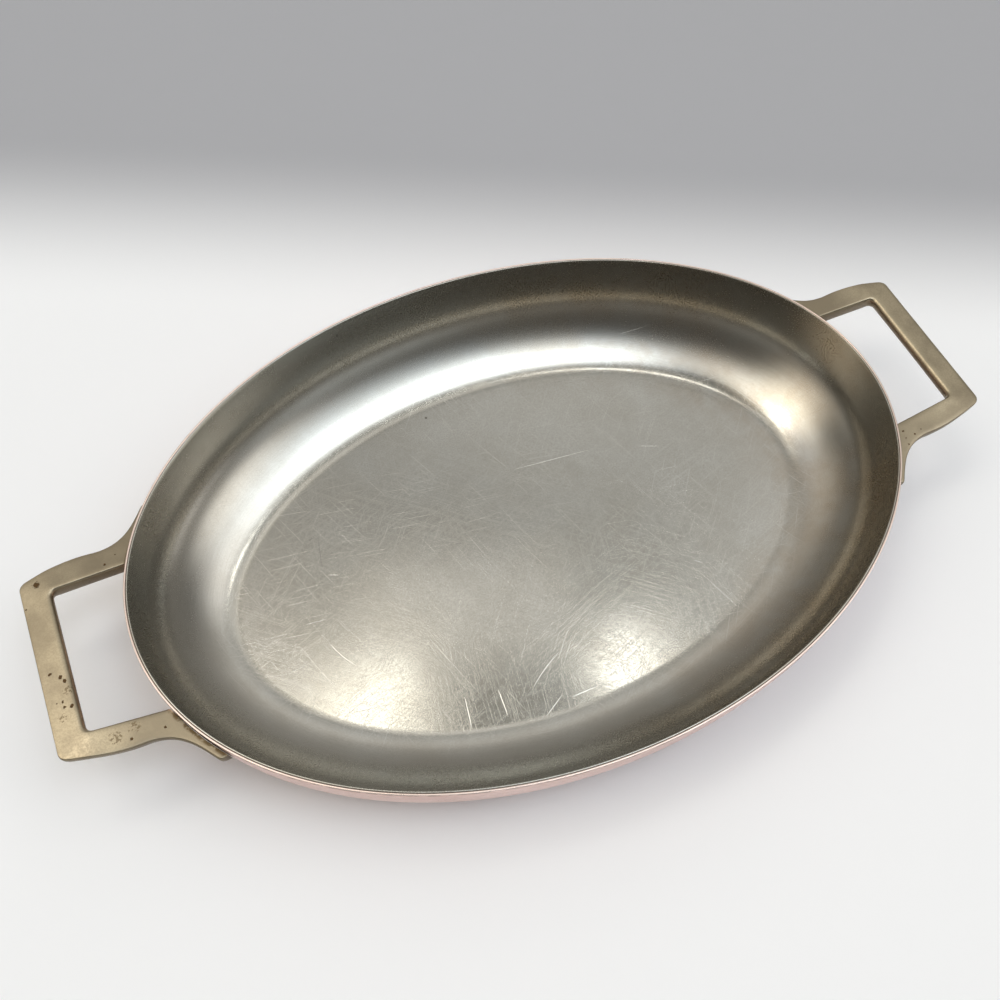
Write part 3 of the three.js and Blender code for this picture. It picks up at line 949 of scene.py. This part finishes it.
# Cast brass of the handles, with the pits and stains that the photograph shows
brassFinish = {
    "colour": colour(0.47, 0.40, 0.28),
    "dullColour": colour(0.28, 0.235, 0.165),
    # for the rubbed edges: wear, with a painted highlight
    "rubbedHighlightColour": colour(0.80, 0.72, 0.54),
    # for dirt, and for the painted shade on the undersides and in the crevice at the wall
    "dirtAndShadeColour": colour(0.12, 0.085, 0.045),
    "pitColour": colour(0.13, 0.08, 0.04),
    "cloud": {"Size": 0.016, "Cover": 0.5, "Softness": 0.16},
    "cloudShares": (0.7, 0.4),             # by itself, and on top of the legs' painted shade
    "legShadeStart": 2 * mm,                    # past the lip, from where the legs' painted shade fades out towards the grip
    "legShadeShare": 0.75,
    "grit": {"scale": 1600.0, "detail": 4.0, "rough": 0.6},
    "gritRange": (0.4, 0.62),
    "gritCover": 0.3,
    "flecks": {"scale": 1100.0, "detail": 3.0, "rough": 0.6},
    "fleckRange": (0.46, 0.56),
    "fleckShare": 0.7,
    "sideNormals": (0.15, 0.5),            # how far faces look up: painted shade on faces below the first
    "sideShade": 0.7,
    "creviceRadii": (1.006, 1.013),        # shares of the lip's oval, where dirt and painted shade fill the corner at the wall
    "creviceBreaks": {"scale": 300.0, "detail": 3.0, "rough": 0.65},
    "creviceRange": (0.36, 0.5),
    "gritSpread": (0.3, 0.7),
    "roughness": (0.28, 0.43),
    "pitRoughness": 0.3,
    "bumpDepth": 0.04 * mm,
    "gritRelief": 0.25,                    # shares of bumpDepth
    "pitRelief": 3.0,
}
leftPits = [
    {"at": (36, 585), "radius": 1.3 * mm},
    {"at": (26, 610), "radius": 0.4 * mm},
    {"at": (49.8, 674.7), "radius": 0.65 * mm},
    {"at": (60.5, 677), "radius": 0.8 * mm},
    {"at": (64.5, 681), "radius": 0.7 * mm},
    {"at": (62.5, 702), "radius": 0.55 * mm},
    {"at": (64.5, 707), "radius": 0.6 * mm},
    {"at": (71.7, 706), "radius": 0.7 * mm},
    {"at": (56.7, 704), "radius": 0.25 * mm},
    {"at": (104.6, 564.5), "radius": 0.5 * mm},
    {"at": (115, 554.5), "radius": 0.25 * mm},
    {"at": (165.4, 727), "radius": 0.5 * mm},
    {"at": (131.7, 739), "radius": 0.6 * mm},
]
leftSmears = [
    {"at": (134.7, 727), "radius": 2.2 * mm},
    {"at": (115.6, 737.5), "radius": 2.5 * mm},
    {"at": (63, 719), "radius": 1.6 * mm},
    {"at": (68, 690), "radius": 1.8 * mm},
]
rightPits = [
    {"at": (903, 431), "radius": 0.5 * mm},
    {"at": (909, 444), "radius": 0.35 * mm},
    {"at": (915, 434), "radius": 0.4 * mm},
    {"at": (921, 429), "radius": 0.3 * mm},
    {"at": (906, 438), "radius": 0.3 * mm},
]


def makeBrass(leftHandle, rightHandle):
    finish = brassFinish
    material, tree, shader, place = startMaterial("cast brass")
    cloud = useGroup(tree, tarnish, Vector=place, **finish["cloud"])["Mask"]
    reach = calc(tree, "ABSOLUTE", separate(tree, place)["X"])
    # painted shade: the legs are darker, fading out towards the grip
    legShade = fade(tree, reach, halfLength + finish["legShadeStart"], gripInner, finish["legShadeShare"], 0.0)
    everywhere, onTop = (calc(tree, "MULTIPLY", cloud, share) for share in finish["cloudShares"])
    # tarnish, together with the legs' painted shade
    cloud = calc(tree, "MAXIMUM", everywhere, calc(tree, "ADD", legShade, onTop))
    flecks = fade(tree, noise(tree, place, **finish["flecks"]), *finish["fleckRange"])
    wearAndHighlight = useGroup(tree, edgeWearAndHighlight, Vector=place)
    grit = noise(tree, place, **finish["grit"])
    pits = calc(tree, "MAXIMUM", spotMarks(tree, place, leftHandle, leftPits),
                spotMarks(tree, place, rightHandle, rightPits))
    smears = calc(tree, "MULTIPLY", spotMarks(tree, place, leftHandle, leftSmears), flecks,
                  finish["fleckShare"])
    base = mixColour(tree, cloud, finish["colour"], finish["dullColour"])
    gritted = fade(tree, grit, *finish["gritRange"], 0.0, finish["gritCover"])
    base = mixColour(tree, gritted, base, finish["dullColour"])
    # rubbed edges made lighter: wear and a painted highlight
    base = mixColour(tree, wearAndHighlight["Edges"], base, finish["rubbedHighlightColour"])
    # painted shade on the faces that look sideways or down
    facing = separate(tree, addNode(tree, "ShaderNodeNewGeometry").outputs["Normal"])["Z"]
    upright = fade(tree, facing, *finish["sideNormals"], finish["sideShade"], 0.0)
    radius = useGroup(tree, brushing, Vector=place)["Radius"]
    # dirt and painted shade in the crevice where the feet meet the wall
    broken = fade(tree, noise(tree, place, **finish["creviceBreaks"]), *finish["creviceRange"])
    crevice = calc(tree, "MULTIPLY", fade(tree, radius, *finish["creviceRadii"], 1.0, 0.0), broken)
    # dirt and painted shade together: darkened hollows, smears, the crevice and the undersides
    dirtAndShade = calc(tree, "MAXIMUM", wearAndHighlight["Hollows"], smears, crevice, upright)
    base = mixColour(tree, dirtAndShade, base, finish["dirtAndShadeColour"])
    base = mixColour(tree, pits, base, finish["pitColour"])
    rough = fade(tree, grit, *finish["gritSpread"], *finish["roughness"])
    rough = calc(tree, "ADD", rough, calc(tree, "MULTIPLY", pits, finish["pitRoughness"]))
    relief = calc(tree, "SUBTRACT", calc(tree, "MULTIPLY", grit, finish["gritRelief"]),
                  calc(tree, "MULTIPLY", pits, finish["pitRelief"]))
    finishMaterial(tree, shader, base, rough, relief, finish["bumpDepth"])
    return material


def dress(piece, material):
    piece.data.materials.clear()
    piece.data.materials.append(material)


def dressPan():
    bpy.context.view_layer.update()
    dress(steelBowl, makeSteel(steelBowl))
    dress(copperShell, makeCopper())
    brass = makeBrass(leftHandle, rightHandle)
    dress(leftHandle, brass)
    dress(rightHandle, brass)
    for name in ("right_rear_pin", "right_front_pin", "left_front_pin", "left_rear_pin"):
        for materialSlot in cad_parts[name].material_slots:
            materialSlot.link = "OBJECT"
            materialSlot.material = brass
    print("materials ready")


dressPan()


# Floor, which greys off into the distance behind the pan
floorLook = {
    "size": 12.0,
    "drop": 0.2 * mm,
    "colour": colour(0.925, 0.935, 0.955),
    "farColour": colour(0.395, 0.40, 0.425),
    "greySets": (0.335, 0.455),            # from under the camera along its view
    "greyEnds": (0.64, 1.1),
    "speckColour": colour(0.7, 0.7, 0.72),
    "specks": {"scale": 60.0, "detail": 2.0},
    "speckCover": 0.02,
    "roughness": 0.6,
}


def makeFloor():
    look = floorLook
    bm = bmesh.new()
    bmesh.ops.create_grid(bm, x_segments=1, y_segments=1, size=look["size"])
    bmesh.ops.translate(bm, verts=bm.verts, vec=(0, 0, -look["drop"]))
    material, tree, shader, place = startMaterial("pale table", metallic=0.0)
    shader.inputs["Roughness"].default_value = look["roughness"]
    turn = math.radians(cameraPlace["turn"])
    ahead = Vector((math.sin(turn), math.cos(turn), 0))
    along = vectorCalc(tree, "DOT_PRODUCT", place, ahead)
    distance = calc(tree, "SUBTRACT", along, cameraPlace["place"].dot(ahead))
    grey = calc(tree, "MULTIPLY", fade(tree, distance, *look["greySets"]),
                fade(tree, distance, *look["greyEnds"], 1.0, 0.0))
    specks = calc(tree, "MULTIPLY", noise(tree, place, **look["specks"]), look["speckCover"])
    base = mixColour(tree, grey, look["colour"], look["farColour"])
    base = mixColour(tree, specks, base, look["speckColour"])
    tree.links.new(base, shader.inputs["Base Color"])
    floor = makeObject("table", bm)
    dress(floor, material)


makeFloor()


# Light: a dim room with bright windows and pale walls in it, and lamps above the table
def glow(azimuth, elevation, wide, tall, strength, tint):
    # An oval patch of light on the sky. Angles are in degrees, wide and tall from its middle to its edge.
    azimuth, elevation = math.radians(azimuth), math.radians(elevation)
    level = math.cos(elevation)
    toward = Vector((math.cos(azimuth) * level, math.sin(azimuth) * level, math.sin(elevation)))
    side = Vector((-math.sin(azimuth), math.cos(azimuth), 0))
    return {
        "toward": toward,
        "across": side / math.sin(math.radians(wide)),
        "up": toward.cross(side) / math.sin(math.radians(tall)),
        "strength": strength,
        "tint": tint,
    }


skyLook = {
    "backdrop": colour(0.92, 0.925, 0.94),        # what the camera sees past the floor
    "levelTint": (1.0, 0.95, 0.86),
    "levels": [(0.0, 0.03), (0.25, 0.28), (0.5, 0.15), (1.0, 0.0)],
}
# Azimuth, elevation, width, height, strength and tint
glows = [
    glow(160, 56, 24, 18, 3.2, (1.0, 0.93, 0.80)),
    glow(120, 56, 26, 20, 0.73, (1.0, 0.97, 0.95)),
    glow(60, 54, 46, 20, 0.7, (1.0, 1.0, 0.98)),
    glow(0, 56, 28, 22, 1.7, (1.0, 0.98, 0.96)),
    glow(320, 56, 28, 20, 1.8, (0.82, 0.91, 1.0)),
    glow(300, 73, 26, 20, 5.0, (0.86, 0.93, 1.0)),
    glow(180, 73, 28, 18, 1.9, (1.0, 0.95, 0.87)),
    glow(125, 73, 24, 17, 1.5, (1.0, 0.94, 0.83)),
    glow(0, 73, 28, 18, 0.8, (0.98, 1.0, 0.98)),
    glow(332, 38, 24, 18, 2.2, (1.0, 0.97, 0.93)),
    glow(60, 38, 50, 18, 0.62, (1.0, 0.97, 0.93)),
    glow(110, 38, 26, 18, 0.6, (1.0, 0.90, 0.76)),
    glow(168, 38, 26, 18, 1.4, (1.0, 0.90, 0.76)),
    glow(168, 22, 34, 16, 0.42, (1.0, 0.88, 0.72)),
    glow(300, 22, 30, 16, 0.42, (0.85, 0.94, 1.0)),
    glow(60, 22, 40, 16, 0.18, (1.0, 1.0, 1.0)),
    glow(338, 5, 24, 14, 1.4, (1.0, 0.97, 0.95)),
]
lampHeight = 1.8
lamps = [
    {"name": "warm panel", "size": (0.24, 0.16), "over": (-0.04, 0.56), "radiance": 3.6,
     "tint": (1.0, 0.97, 0.88)},
    {"name": "strip", "size": (0.5, 0.25), "over": (0.25, 0.7), "radiance": 0.7,
     "tint": (1.0, 0.97, 0.92)},
    {"name": "white panel", "size": (0.15, 0.12), "over": (0.55, 0.43), "radiance": 6.0,
     "tint": (1.0, 0.99, 0.94)},
    {"name": "key lamp", "size": (0.3, 0.3), "over": (-0.4, 0.5), "radiance": 3.4,
     "tint": (1.0, 0.98, 0.96)},
]


def skyLevels(tree, direction):
    # The plain sky under the glows, by height
    ramp = addNode(tree, "ShaderNodeValToRGB", {0: separate(tree, direction)["Z"]})
    stops = ramp.color_ramp.elements
    while len(stops) < len(skyLook["levels"]):
        stops.new(0.5)
    for stop, (position, level) in zip(stops, skyLook["levels"]):
        stop.position = position
        stop.color = colour(*(level * share for share in skyLook["levelTint"]))
    return ramp.outputs["Color"]


def makeSky():
    world = bpy.data.worlds.new("studio")
    bpy.context.scene.world = world
    world.use_nodes = True
    tree = world.node_tree
    direction = addNode(tree, "ShaderNodeTexCoord").outputs["Generated"]
    total = skyLevels(tree, direction)
    for patch in glows:
        across = vectorCalc(tree, "DOT_PRODUCT", direction, patch["across"])
        up = vectorCalc(tree, "DOT_PRODUCT", direction, patch["up"])
        away = vectorCalc(tree, "LENGTH", combine(tree, across, up))
        ahead = calc(tree, "GREATER_THAN", vectorCalc(tree, "DOT_PRODUCT", direction, patch["toward"]), 0.0)
        mask = calc(tree, "MULTIPLY", fade(tree, away, 0.0, 1.0, patch["strength"], 0.0), ahead)
        total = vectorCalc(tree, "ADD", total, scaled(tree, patch["tint"], mask))
    onCamera = addNode(tree, "ShaderNodeLightPath").outputs["Is Camera Ray"]
    total = mixColour(tree, onCamera, total, skyLook["backdrop"])
    tree.links.new(total, tree.nodes["Background"].inputs["Color"])


def makeLamps():
    for lamp in lamps:
        data = bpy.data.lights.new(lamp["name"], "AREA")
        data.shape = "RECTANGLE"
        data.size, data.size_y = lamp["size"]
        data.color = lamp["tint"]
        data.energy = lamp["radiance"] * math.pi * data.size * data.size_y
        made = bpy.data.objects.new(lamp["name"], data)
        made.location = (*lamp["over"], lampHeight)
        made.rotation_mode = "QUATERNION"
        made.rotation_quaternion = (-made.location).to_track_quat("-Z", "Y")
        bpy.context.scene.collection.objects.link(made)


makeSky()
makeLamps()
makeCamera()
bpy.context.scene.view_settings.view_transform = "Standard"
print("light ready")
